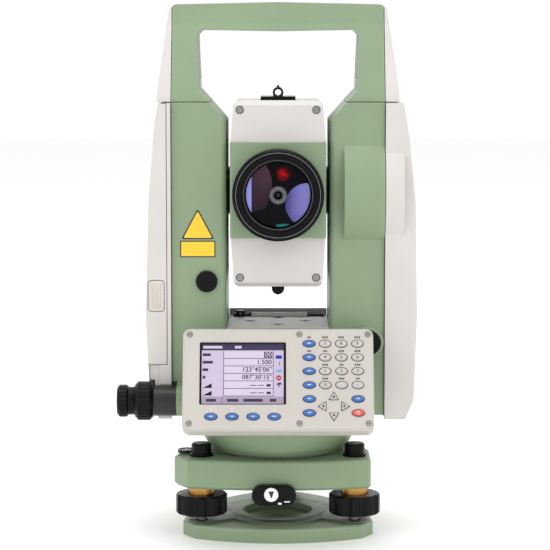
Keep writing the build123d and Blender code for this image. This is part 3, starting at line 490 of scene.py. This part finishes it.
class Piece:
    """Collects faces in a local frame, each with the number of its material."""

    def __init__(self, place):
        self.place = place
        self.points = []
        self.faces = []
        self.marks = []

    def loft(self, rings, mark=0, loop=False, caps=True):
        base = len(self.points)
        n = len(rings[0])
        count = len(rings)
        for ring in rings:
            self.points.extend(self.place @ Vector(p) for p in ring)
        for k in range(count if loop else count - 1):
            a = base + k * n
            b = base + ((k + 1) % count) * n
            for i in range(n):
                j = (i + 1) % n
                self.faces.append((a + i, a + j, b + j, b + i))
                self.marks.append(mark)
        if not loop and caps:
            self.faces.append(tuple(base + i for i in reversed(range(n))))
            self.faces.append(tuple(base + (count - 1) * n + i for i in range(n)))
            self.marks.extend((mark, mark))

    def plate(self, outline, low, high, mark=0, lip=0.0):
        rings = [[(u, v, low) for u, v in outline]]
        rings.append([(u, v, high - lip * 0.6) for u, v in outline])
        if lip:
            rings.append([(u, v, high) for u, v in shrunk(outline, lip)])
        self.loft(rings, mark)

    def dome(self, outline, low, high, mark=0, steps=((0.0, 0.75), (0.22, 0.35), (0.55, 0.12), (1.0, 0.0))):
        """A cap whose crown is drawn in and rises over the given (inset, drop) steps."""
        rings = [[(u, v, low) for u, v in outline]]
        for inset, drop in steps:
            ring = shrunk(outline, inset) if inset else outline
            rings.append([(u, v, high - drop) for u, v in ring])
        self.loft(rings, mark)

    def turned(self, profile, centre=(0.0, 0.0), mark=0, segments=64, loop=True):
        """A ring or disc turned about the local n axis, from (radius, n) points."""
        rings = []
        for r, n in profile:
            ring = ellipse(centre[0], centre[1], r, r, segments)
            rings.append([(u, v, n) for u, v in ring])
        self.loft(rings, mark, loop=loop)

    def digits(self, text, size, at, low, high, mark=0, align="CENTER"):
        curve = bpy.data.curves.new("numerals", "FONT")
        curve.body = text
        curve.size = size
        curve.align_x = align
        curve.align_y = "CENTER"
        curve.resolution_u = 3
        curve.extrude = (high - low) / 2
        curve.offset = 0.012 * size
        holder = bpy.data.objects.new("numerals", curve)
        bpy.context.scene.collection.objects.link(holder)
        shape = holder.evaluated_get(bpy.context.evaluated_depsgraph_get())
        mesh = bpy.data.meshes.new_from_object(shape)
        base = len(self.points)
        lift = (high + low) / 2
        for v in mesh.vertices:
            self.points.append(self.place @ Vector((v.co.x + at[0], v.co.y + at[1], v.co.z + lift)))
        for p in mesh.polygons:
            self.faces.append(tuple(base + i for i in p.vertices))
            self.marks.append(mark)
        bpy.data.objects.remove(holder)
        bpy.data.curves.remove(curve)
        bpy.data.meshes.remove(mesh)

    def finish(self, name, body, materials, stands_for=(), sharp=38.0):
        mesh = bpy.data.meshes.new(name)
        mesh.from_pydata(self.points, [], self.faces)
        for key in materials:
            mesh.materials.append(made[key])
        mesh.polygons.foreach_set("material_index", self.marks)
        bm = bmesh.new()
        bm.from_mesh(mesh)
        bmesh.ops.recalc_face_normals(bm, faces=bm.faces)
        bm.to_mesh(mesh)
        bm.free()
        mesh.shade_smooth()
        mesh.set_sharp_from_angle(angle=math.radians(sharp))
        obj = bpy.data.objects.new(name, mesh)
        bpy.context.scene.collection.objects.link(obj)
        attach(obj, body)
        if stands_for:
            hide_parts(*stands_for)
        return obj


# ---- control panel ---------------------------------------------------------------------

TILT = math.radians(25.0)
PANEL_UP = Vector((0.0, math.sin(TILT), math.cos(TILT)))
PANEL_OUT = Vector((0.0, -math.cos(TILT), math.sin(TILT)))
WINDOW_U = -23.1
WINDOW_V = 4.1
window_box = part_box("display_window")
window_middle = (window_box[0] + window_box[1]) / 2
panel_origin = (window_middle - Vector((WINDOW_U * MM, 0, 0)) - PANEL_UP * (WINDOW_V * MM)
                + PANEL_OUT * (3.0 * MM))
panel = frame_at(panel_origin, (1, 0, 0), PANEL_UP)
KEY_LOW = -5.2
KEY_TOP = 1.0
BLUE_HALF = (3.95, 2.1)
DIGIT_HALF = (3.7, 2.3)
DIGIT_ROWS = ("789", "456", "123", "0.-")


def digit_spots():
    for row in range(4):
        for column in range(3):
            yield 30.8 + 10.6 * column, 24.2 - 9.4 * row, DIGIT_ROWS[row][column]


def blue_key(piece, u, v, mark=0, print_mark=1):
    piece.dome(ellipse(u, v, *BLUE_HALF), KEY_LOW, KEY_TOP, mark)
    piece.plate(rectangle(u, v, 2.4, 0.5, 0.2), KEY_TOP - 0.02, KEY_TOP + 0.03, print_mark)


def soft_keys():
    piece = Piece(panel)
    for k in range(4):
        blue_key(piece, -43.7 + 13.7 * k, -25.3)
    piece.finish("soft_key_caps", "soft_keys", ("key_blue", "pale_ink"), ("soft_keys",))


def function_keys():
    piece = Piece(panel)
    for k in range(6):
        blue_key(piece, 20.3, 24.2 - 9.4 * k)
    piece.finish("function_key_caps", "function_keys", ("key_blue", "pale_ink"),
                 ("function_keys",))


def digit_keys():
    piece = Piece(panel)
    for u, v, text in digit_spots():
        piece.dome(ellipse(u, v, *DIGIT_HALF), KEY_LOW, KEY_TOP, 0)
        piece.digits(text, 3.0, (u, v), KEY_TOP - 0.05, KEY_TOP + 0.04, 1)
    piece.finish("digit_key_caps", "digit_keys", ("key_grey", "ink"), ("digit_keys",))


def arrow_outline(angle, radius, corner):
    corners = []
    turn = math.radians(angle)
    cu = 36.2 + 6.8 * math.cos(turn)
    cv = -18.4 + 6.2 * math.sin(turn)
    for k in range(3):
        t = turn + k * 2 * math.pi / 3
        corners.append((cu + radius * math.cos(t), cv + radius * math.sin(t)))
    return rounded_polygon(corners, corner, 5)


def cursor_keys():
    piece = Piece(panel)
    steps = ((0.0, 0.6), (0.25, 0.2), (0.6, 0.05), (0.9, 0.0))
    for angle in (0, 90, 180, 270):
        piece.dome(arrow_outline(angle, 3.2, 0.35), KEY_LOW, KEY_TOP, 0, steps)
        piece.plate(arrow_outline(angle, 1.2, 0.1), KEY_TOP - 0.02, KEY_TOP + 0.03, 2)
    blue_key(piece, 52.0, 24.2 - 9.4 * 4, 1, 3)
    piece.finish("cursor_key_caps", "cursor_keys", ("key_grey", "key_blue", "ink", "pale_ink"),
                 ("cursor_keys",))


def power_key():
    piece = Piece(panel)
    u = 52.0
    v = 24.2 - 9.4 * 5
    piece.dome(ellipse(u, v, *BLUE_HALF), KEY_LOW, KEY_TOP, 0)
    piece.turned([(0.75, KEY_TOP - 0.03), (1.05, KEY_TOP - 0.03),
                  (1.05, KEY_TOP + 0.03), (0.75, KEY_TOP + 0.03)],
                 (u, v), 1, 32)
    piece.finish("power_key_cap", "power_key", ("key_red", "pale_ink"), ("power_key",))


def key_socket_shadows():
    """A dark ring round every key: the key's grey socket, and painted shadow offset to the side away from the
    light.
    """
    piece = Piece(panel)
    spots = [(u, v, DIGIT_HALF) for u, v, text in digit_spots()]
    spots += [(-43.7 + 13.7 * k, -25.3, BLUE_HALF) for k in range(4)]
    spots += [(20.3, 24.2 - 9.4 * k, BLUE_HALF) for k in range(6)]
    spots += [(52.0, 24.2 - 9.4 * k, BLUE_HALF) for k in (4, 5)]
    for u, v, (a, b) in spots:
        # outer edge shifted down and sideways: painted shadow on the side away from the light
        outer = ellipse(u + 0.12, v - 0.12, a + 0.42, b + 0.42)
        inner = ellipse(u, v, a + 0.16, b + 0.16)
        rings = [[(p, q, -0.1) for p, q in outer], [(p, q, 0.03) for p, q in outer],
                 [(p, q, -0.05) for p, q in inner], [(p, q, -0.2) for p, q in inner]]
        piece.loft(rings, loop=True)
    piece.finish("key_socket_shadows", "alidade", ("well_shadow",))


def key_prints():
    """Plain printed marks above the number keys and the first two function keys, and key leads."""
    piece = Piece(panel)
    spots = [(u, v) for u, v, text in digit_spots()]
    spots += [(20.3, 24.2), (20.3, 14.8)]
    for k, (u, v) in enumerate(spots):
        marks = 2 if k >= 12 else 3 - (k % 4 == 3)
        for m in range(marks):
            x = u + (m - (marks - 1) / 2) * 1.35
            piece.plate(rectangle(x, v + 4.4, 0.95, 1.3, 0.12, 2), -0.02, 0.03, 0)
    for k in range(4):
        piece.plate(rectangle(-43.7 + 13.7 * k, -20.6, 0.35, 2.6, 0.1, 2), -0.02, 0.03, 1)
    piece.finish("panel_prints", "alidade", ("ink", "pale_ink"))


def screen():
    """The lit screen: header, labels, six value rows, side marks and four soft labels."""
    piece = Piece(panel)
    left = WINDOW_U - 28.3
    top = WINDOW_V + 21.3
    ground, field, line, header, pale, text, footer, blue, cyan, red, black = range(11)

    def bar(a0, b0, a1, b1, level, mark, radius=0.08):
        w = a1 - a0
        h = b1 - b0
        outline = rectangle(left + (a0 + a1) / 2, top - (b0 + b1) / 2, w, h, min(radius, w / 3, h / 3), 2)
        piece.plate(outline, -2.02, -1.98 + 0.03 * level, mark)

    bar(1.3, 0.8, 55.0, 41.6, 1, ground)
    bar(1.3, 0.8, 55.0, 5.2, 2, header)
    bar(2.2, 2.1, 14.8, 3.9, 3, pale)
    bar(23.0, 2.1, 27.4, 3.9, 3, pale)
    for row in range(6):
        b = 5.9 + 5.1 * row
        bar(15.6, b, 48.2, b + 4.6, 2, field)
        bar(15.6, b + 4.6, 48.2, b + 5.0, 3, line)
    bar(15.5, 5.7, 15.9, 36.4, 4, line)
    bar(48.0, 5.7, 48.4, 36.4, 4, line)
    bar(42.2, 6.2, 47.6, 10.2, 3, black)
    for row, width in enumerate((5.2, 6.6, 3.6, 1.8)):
        bar(2.0, 7.3 + 5.1 * row, 2.0 + width, 9.1 + 5.1 * row, 3, text)
    for row in (4, 5):
        b = 10.4 + 5.1 * row
        wedge = [(left + 2.2, top - b), (left + 8.0, top - b), (left + 8.0, top - b + 3.1)]
        piece.plate(wedge, -2.02, -1.88, black)
        bar(33.0, b - 2.0, 37.4, b - 1.5, 3, text)
        bar(38.2, b - 2.0, 42.2, b - 1.5, 3, text)
        bar(43.8, b - 2.6, 46.6, b - 0.9, 3, text)
    values = ("00", "1.500", "123°45'06\"", "087°30'15\"")
    for row, value in enumerate(values):
        mark = pale if row == 0 else text
        piece.digits(value, 4.4, (left + 47.2, top - 8.2 - 5.1 * row), -1.9, -1.86, mark, "RIGHT")
    cu = left + 51.8
    piece.plate(rectangle(cu, top - 9.8, 4.2, 2.3, 0.9), -2.02, -1.88, blue)
    piece.plate(rectangle(cu + 0.6, top - 14.2, 0.5, 2.4, 0.1), -2.02, -1.88, line)
    for k in range(4):
        piece.plate(rectangle(cu - 1.5 + k, top - 19.5 + 0.5 * (k % 2), 0.7, 1.7, 0.2), -2.02, -1.88, cyan)
    piece.plate(ellipse(cu, top - 24.0, 1.8, 1.8, 28), -2.02, -1.88, red)
    piece.plate(rectangle(cu, top - 24.0, 2.2, 0.5, 0.1), -1.9, -1.85, pale)
    piece.plate([(cu - 1.6, top - 28.6), (cu + 1.6, top - 28.6),
                 (cu + 1.6, top - 27.2), (cu - 0.4, top - 27.2)],
                -2.02, -1.88, header)
    piece.plate(rectangle(cu + 0.1, top - 29.4, 0.6, 1.8, 0.1), -2.02, -1.88, header)
    bar(1.3, 36.6, 55.0, 41.6, 2, footer)
    bar(14.6, 36.8, 15.0, 41.4, 3, line)
    for a, width in ((7.6, 6.6), (21.8, 7.4), (35.0, 12.6), (48.0, 4.2)):
        bar(a - width / 2, 38.2, a + width / 2, 40.1, 3, text)
    piece.finish("screen_image", "alidade",
                 ("lcd_ground", "lcd_field", "lcd_line", "lcd_header", "lcd_pale", "lcd_text", "lcd_footer",
                  "lcd_blue", "lcd_cyan", "lcd_red", "lcd_black"))


# ---- telescope -------------------------------------------------------------------------


def objective():
    """The coated front element, bored for the coaxial tube."""
    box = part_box("objective_lens")
    radius = (box[1].x - box[0].x) / 2 / MM
    bore = (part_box("coaxial_tube")[1].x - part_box("coaxial_tube")[0].x) / 2 / MM
    depth = (box[1].y - box[0].y) / MM
    place = frame_at((scope_middle.x, box[0].y, scope_middle.z), (1, 0, 0), (0, 0, 1))
    piece = Piece(place)
    profile = []
    for k in range(15):
        r = bore + (radius - bore) * k / 14
        profile.append((r, -1.7 * (r / radius) ** 2 - 0.05))
    profile = [(bore, -depth)] + profile + [(radius, -depth)]
    piece.turned(list(reversed(profile)), segments=96)
    piece.finish("front_element", "telescope", ("lens_glass",), ("objective_lens",), 60.0)


def lens_rings():
    """Polished lines where the retaining rings catch the light."""
    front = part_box("objective_ring")[0].y
    place = frame_at((scope_middle.x, front, scope_middle.z), (1, 0, 0), (0, 0, 1))
    piece = Piece(place)
    lens_r = (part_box("objective_lens")[1].x - scope_middle.x) / MM
    for r, n, half in ((27.9, 0.0, 0.22), (lens_r + 0.5, -3.9, 0.16)):
        ring = [(r + half * math.cos(t), n + 0.8 * half * math.sin(t))
                for t in [2 * math.pi * k / 10 for k in range(10)]]
        piece.turned(ring, segments=120)
    piece.finish("objective_ring_lines", "telescope", ("silver_line",))
    well = Piece(place)
    well.turned([(lens_r + 0.9, -4.05), (lens_r + 3.1, -4.05), (lens_r + 3.1, -3.6), (lens_r + 2.6, -3.9),
                 (lens_r + 2.0, -3.7), (lens_r + 1.4, -3.9)], segments=96)
    well.finish("objective_well", "telescope", ("anodised_black",))


def tube_lens():
    """The small lens down the coaxial tube, and the tube's front lip."""
    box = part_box("coaxial_tube")
    place = frame_at((scope_middle.x, box[0].y, scope_middle.z), (1, 0, 0), (0, 0, 1))
    piece = Piece(place)
    piece.turned([(3.0, -6.0), (3.0, -4.6), (2.4, -4.2), (1.4, -3.9), (0.3, -3.8)], segments=40, loop=False)
    piece.turned([(4.2, -0.1), (4.7, -0.1), (4.7, 0.04), (4.45, 0.09), (4.2, 0.04)], mark=1, segments=64)
    piece.finish("coaxial_lens", "telescope", ("eye_glass", "silver_line"))


def eye_lens():
    """The eye lens inside the eyepiece cup."""
    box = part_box("eyepiece")
    middle = (box[0] + box[1]) / 2
    place = frame_at((middle.x, box[1].y, middle.z), (-1, 0, 0), (0, 0, 1))
    piece = Piece(place)
    piece.turned([(8.4, -2.95), (8.4, -2.5), (7.8, -2.2), (6.4, -2.3), (6.2, -2.7), (6.2, -2.95)], mark=1,
                 segments=72)
    rise = [(6.1 * math.cos(t), -2.8 + 0.9 * math.sin(t)) for t in [math.pi / 2 * k / 8 for k in range(8)]]
    piece.turned([(4.9, -4.5), (6.1, -2.95)] + rise, segments=72, loop=False)
    piece.finish("eye_lens", "eyepiece", ("eye_glass", "anodised_black"))


def seam_shadow_strips():
    """Dark strips of painted shade at the seams between the telescope band and its two covers."""
    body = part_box("telescope_body")
    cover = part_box("telescope_top_cover")
    half_w = (cover[1].x - cover[0].x) / 2 / MM - 0.15
    y0 = cover[0].y / MM
    y1 = cover[1].y / MM
    for name, z in (("top", body[1].z), ("bottom", body[0].z)):
        place = frame_at((scope_middle.x, (y0 + y1) / 2 * MM, z), (1, 0, 0), (0, 1, 0))
        piece = Piece(place)
        # black strips standing for the painted shade in the seams
        outer = rectangle(0, 0, 2 * half_w, y1 - y0 + 0.1, 0.6, 4)
        inner = rectangle(0, 0, 2 * half_w - 3.0, y1 - y0 - 2.9, 0.4, 4)
        rings = [[(u, v, -0.12) for u, v in outer], [(u, v, 0.12) for u, v in outer],
                 [(u, v, 0.12) for u, v in inner], [(u, v, -0.12) for u, v in inner]]
        piece.loft(rings, loop=True)
        piece.finish("telescope_seam_shadow_" + name, "telescope", ("rubber_black",))


# ---- standards, levels and tribrach ------------------------------------------------------

standard_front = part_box("left_cover")[0].y + 3.0 * MM


def stickers():
    """A blank yellow triangle and a blank yellow strip with dark borders."""
    place = frame_at((-0.0536, standard_front, 0.0), (1, 0, 0), (0, 0, 1))
    piece = Piece(place)
    for inset, level, mark in ((0.0, 0.06, 1), (0.9, 0.10, 0)):
        half = 11.1 - inset * 1.73
        corners = [(-half, 202.8 + inset), (half, 202.8 + inset), (0.0, 223.4 - inset * 2.0)]
        piece.plate(rounded_polygon(corners, 1.0 - inset * 0.4, 6), -0.02, level, mark)
    for inset, level, mark in ((0.0, 0.06, 1), (0.75, 0.10, 0)):
        piece.plate(rectangle(0.0, 196.3, 23.6 - 2 * inset, 11.1 - 2 * inset, 0.5), -0.02, level, mark)
    piece.finish("plain_stickers", "alidade", ("sticker", "ink"))


def plate_level():
    """A pale half sleeve on the plate level's tube, its bubble and the two reading lines."""
    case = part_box("plate_level_case")
    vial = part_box("plate_level_vial")
    middle = (vial[0] + vial[1]) / 2
    y = (case[0].y + case[1].y) / 2
    place = frame_at((0.0, y, middle.z), (0, 1, 0), (0, 0, 1))
    piece = Piece(place)
    arc = [math.radians(a) for a in range(104, 236, 8)]
    outer = [(2.32 * math.cos(t), 2.32 * math.sin(t)) for t in arc]
    inner = [(2.12 * math.cos(t), 2.12 * math.sin(t)) for t in reversed(arc)]
    section = outer + inner
    piece.loft([[(u, v, -18.6) for u, v in section], [(u, v, 20.6) for u, v in section]])
    piece.finish("plate_level_sleeve", "alidade", ("sleeve_white",))
    lift = 0.62
    along = frame_at((middle.x, middle.y, middle.z + lift * MM), (0, 1, 0), (0, 0, 1))
    bubble = Piece(along)
    rings = []
    for k in range(13):
        t = math.pi * (k + 0.5) / 13
        rings.append([(0.75 * math.sin(t) * math.cos(a), 0.5 * math.sin(t) * math.sin(a), -4.2 * math.cos(t))
                      for a in [2 * math.pi * j / 20 for j in range(20)]])
    bubble.loft(rings, 0)
    for n in (-4.8, 4.8):
        mark = [(1.54, n - 0.15), (1.54, n + 0.15), (1.5, n + 0.15), (1.5, n - 0.15)]
        bubble.turned(mark, (0.0, -lift), 1, 40)
    bubble.finish("plate_level_bubble", "alidade", ("bubble", "ink"))


def circular_level():
    """The round level's domed glass, its ring mark and its bubble."""
    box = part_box("circular_level")
    middle = (box[0] + box[1]) / 2
    place = frame_at((middle.x, middle.y, box[1].z), (1, 0, 0), (0, 1, 0))
    piece = Piece(place)
    dome = [(4.4 * math.cos(t), -0.75 + 0.6 * math.sin(t)) for t in [math.pi / 2 * k / 8 for k in range(8)]]
    piece.turned([(4.4, -0.8)] + dome, mark=0, segments=64, loop=False)
    piece.turned([(1.9, -0.35), (2.15, -0.35), (2.15, -0.13), (1.9, -0.10)], mark=1, segments=48)
    piece.turned([(1.5, -0.4), (1.45, -0.16), (0.9, -0.05), (0.2, -0.03)], (0.3, 0.2), 2, 40, False)
    piece.turned([(4.5, -0.3), (5.5, -0.3), (5.5, 0.03), (5.2, 0.08), (4.7, -0.05)], mark=3, segments=64)
    piece.finish("circular_level_glass", "tribrach",
                 ("vial_glass", "ink", "bubble", "steel_bright"))


def clamp_marks():
    """The white disc with its pointer, the detent ring and the two index ticks on the tribrach lock."""
    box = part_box("clamp_knob")
    place = frame_at((-0.0046, box[0].y, 0.0339), (1, 0, 0), (0, 0, 1))
    piece = Piece(place)
    piece.turned([(4.7, -0.2), (4.7, 0.05), (4.4, 0.12), (0.4, 0.12)], mark=0, segments=64, loop=False)
    piece.plate(rounded_polygon([(0.1, -2.8), (1.9, 2.3), (-1.9, 2.3)], 0.25, 4), 0.1, 0.18, 1)
    turns = [2 * math.pi * k / 8 for k in range(8)]
    ring = [(2.3 + 0.35 * math.cos(t), 0.02 + 0.22 * math.sin(t)) for t in turns]
    piece.turned(ring, (10.6, 0.2), 2, 48)
    piece.turned([(1.2, -0.2), (1.2, 0.05), (0.7, 0.14), (0.2, 0.16)], (10.6, 0.2), 2, 32, False)
    piece.plate(rectangle(5.8, -6.0, 2.4, 1.3, 0.2), -0.1, 0.08, 0)
    piece.plate(rectangle(10.6, -4.7, 3.8, 0.8, 0.2), -0.1, 0.08, 0)
    piece.finish("clamp_knob_marks", "clamp_knob", ("white_print", "ink", "black_plastic"))


soft_keys()
function_keys()
digit_keys()
cursor_keys()
power_key()
key_socket_shadows()
key_prints()
screen()
objective()
lens_rings()
tube_lens()
eye_lens()
seam_shadow_strips()
stickers()
plate_level()
circular_level()
clamp_marks()

# ---- floor, light and camera -------------------------------------------------------------


def floor():
    points = []
    faces = []
    rings = (0.6, 1.4, 3.0, 7.0)
    count = 64
    for r in rings:
        for k in range(count):
            t = 2 * math.pi * k / count
            points.append((r * math.cos(t), r * math.sin(t), 0.0))
    faces.append(tuple(range(count)))
    for ring in range(len(rings) - 1):
        for k in range(count):
            j = (k + 1) % count
            a = ring * count
            b = a + count
            faces.append((a + k, b + k, b + j, a + j))
    mesh = bpy.data.meshes.new("floor")
    mesh.from_pydata(points, [], faces)
    g = Graph("pale_floor")
    g.set("Base Color", g.mix(g.noise(3.0), linear((250, 250, 249)), linear((253, 253, 252))))
    g.set("Roughness", 0.75)
    g.set("Specular IOR Level", 0.1)
    mesh.materials.append(g.material)
    ground = bpy.data.objects.new("floor", mesh)
    bpy.context.scene.collection.objects.link(ground)


def softbox(name, place, aim, size, power, tint=(1.0, 1.0, 1.0)):
    light = bpy.data.lights.new(name, "AREA")
    light.shape = "RECTANGLE"
    light.size = size[0]
    light.size_y = size[1]
    light.energy = power
    light.color = tint
    lamp = bpy.data.objects.new(name, light)
    lamp.location = place
    lamp.rotation_euler = (Vector(aim) - Vector(place)).to_track_quat("-Z", "Y").to_euler()
    bpy.context.scene.collection.objects.link(lamp)


def studio():
    world = bpy.data.worlds.new("studio")
    world.use_nodes = True
    background = world.node_tree.nodes["Background"]
    background.inputs["Color"].default_value = (1.0, 1.0, 1.0, 1.0)
    background.inputs["Strength"].default_value = 1.0
    bpy.context.scene.world = world
    softbox("key_softbox", (1.3, -1.9, 2.0), (0.0, 0.0, 0.25), (1.0, 1.2), 10.0, (1.0, 0.99, 0.97))
    softbox("fill_softbox", (-1.7, -1.5, 1.5), (0.0, 0.0, 0.25), (0.8, 1.2), 6.0, (0.98, 0.99, 1.0))
    softbox("top_softbox", (0.0, -0.2, 2.3), (0.0, 0.0, 0.2), (1.6, 1.6), 16.0)
    softbox("rear_softbox", (-0.5, 2.2, 1.5), (0.0, 0.0, 0.2), (1.4, 1.4), 6.0)


def camera():
    lens = bpy.data.cameras.new("camera")
    lens.lens = CAMERA_LENS_MM
    lens.sensor_width = 36.0
    lens.clip_start = 0.05
    lens.clip_end = 50.0
    eye = bpy.data.objects.new("camera", lens)
    eye.location = CAMERA_AT
    eye.rotation_euler = (Vector(CAMERA_AIM) - Vector(CAMERA_AT)).to_track_quat("-Z", "Y").to_euler()
    bpy.context.scene.collection.objects.link(eye)
    bpy.context.scene.camera = eye


floor()
studio()
camera()
bpy.context.scene.view_settings.view_transform = "Standard"
